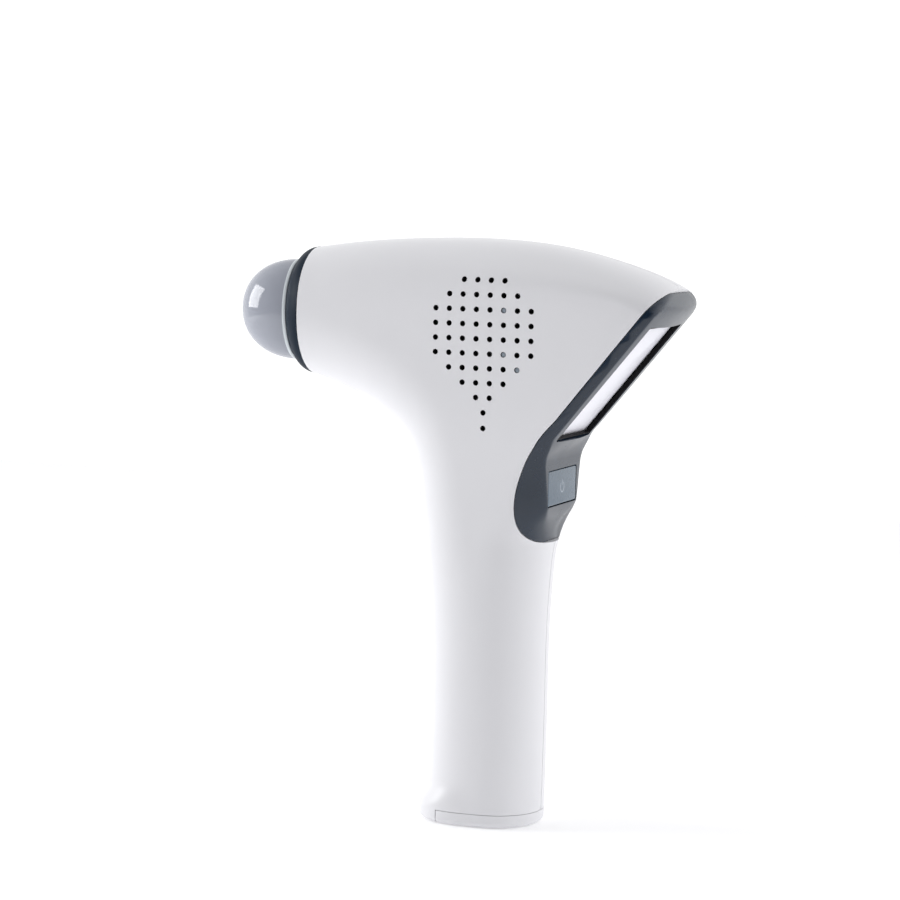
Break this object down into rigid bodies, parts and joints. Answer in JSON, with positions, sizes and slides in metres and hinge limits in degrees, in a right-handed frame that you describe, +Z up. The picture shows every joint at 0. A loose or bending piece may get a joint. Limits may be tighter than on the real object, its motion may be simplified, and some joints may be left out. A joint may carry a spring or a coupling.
{
  "type": "ipl hair remover",
  "caption": "Pistol-shaped pulsed-light hair remover with a vented two-half housing, clear nose cap, pull-out lamp cartridge, rear display and push key.",
  "frame": {"origin": "centre of the handle's flat base", "axes": "+Z up along the handle, -X towards the nose, +X out of the display and key side, -Y towards the left side"},
  "size_m": [0.1605, 0.0456, 0.1988],
  "materials": {
    "white": "gloss",
    "slate": "satin",
    "black_plastic": "matte",
    "smoke_clear": "clear gloss",
    "filter_glass": "polished",
    "lamp_glass": "polished",
    "screen": "polished",
    "lcd": "gloss",
    "rubber": "matte",
    "board": "satin",
    "steel": "plated",
    "mirror": "polished",
    "cast_aluminium": "cast",
    "brass": "bright",
    "copper": "enamelled wire",
    "sleeve": "satin",
    "red_insulation": "satin",
    "black_insulation": "satin"
  },
  "bodies": {
    "handset": {"base_cap": "white", "display_board": "board", "display_gasket": "rubber", "display_lead": "sleeve", "display_panel": "lcd", "display_window": "screen", "driver_board": "board", "fan_frame": "black_plastic", "filter_choke": "copper", "heat_sink": "cast_aluminium", "housing_screw_1": "steel", "housing_screw_2": "steel", "housing_screw_3": "steel", "housing_screw_4": "steel", "housing_screw_5": "steel", "jack_pin": "steel", "key_board": "board", "key_switch": "steel", "lamp_lead_black": "black_insulation", "lamp_lead_red": "red_insulation", "lamp_socket": "black_plastic", "left_housing": "white", "nose_collar": "slate", "power_board": "board", "power_jack": "black_plastic", "power_switch": "black_plastic", "rear_bezel": "slate", "right_housing": "white", "status_buzzer": "black_plastic", "storage_capacitor": "sleeve", "transformer_core": "black_plastic", "transformer_winding": "copper"},
    "cap": {"dust_cap": "smoke_clear"},
    "cartridge": {"cartridge_body": "black_plastic", "window_frame": "black_plastic", "filter_glass": "filter_glass", "reflector": "mirror", "flash_tube": "lamp_glass", "tube_electrode_lower": "steel", "tube_electrode_upper": "steel", "sensor_switch_left": "black_plastic", "sensor_switch_right": "black_plastic", "cartridge_contact_lower": "brass", "cartridge_contact_upper": "brass"},
    "left_sensor": {"skin_sensor_left": "steel"},
    "right_sensor": {"skin_sensor_right": "steel"},
    "fan": {"fan_rotor": "black_plastic", "fan_shaft": "steel"},
    "key": {"power_key": "slate", "switch_stem": "black_plastic"}
  },
  "joints": [
    {"name": "cartridge_pull", "type": "slide", "parent": "handset", "child": "cartridge", "axis": [-1, 0, 0], "range_m": [0, 0.045]},
    {"name": "cap_pull", "type": "slide", "parent": "cartridge", "child": "cap", "axis": [-1, 0, 0], "range_m": [0, 0.04]},
    {"name": "left_sensor_press", "type": "slide", "parent": "cartridge", "child": "left_sensor", "axis": [1, 0, 0], "range_m": [0, 0.001], "stiffness_N_per_m": 300},
    {"name": "right_sensor_press", "type": "slide", "parent": "cartridge", "child": "right_sensor", "axis": [1, 0, 0], "range_m": [0, 0.001], "stiffness_N_per_m": 300},
    {"name": "key_press", "type": "slide", "parent": "handset", "child": "key", "axis": [-1, 0, 0], "range_m": [0, 0.0006], "stiffness_N_per_m": 1500},
    {"name": "fan_spin", "type": "hinge", "parent": "handset", "child": "fan", "pos_m": [0.0035, -0.0105, 0.163], "axis": [0, 1, 0], "continuous": true}
  ]
}
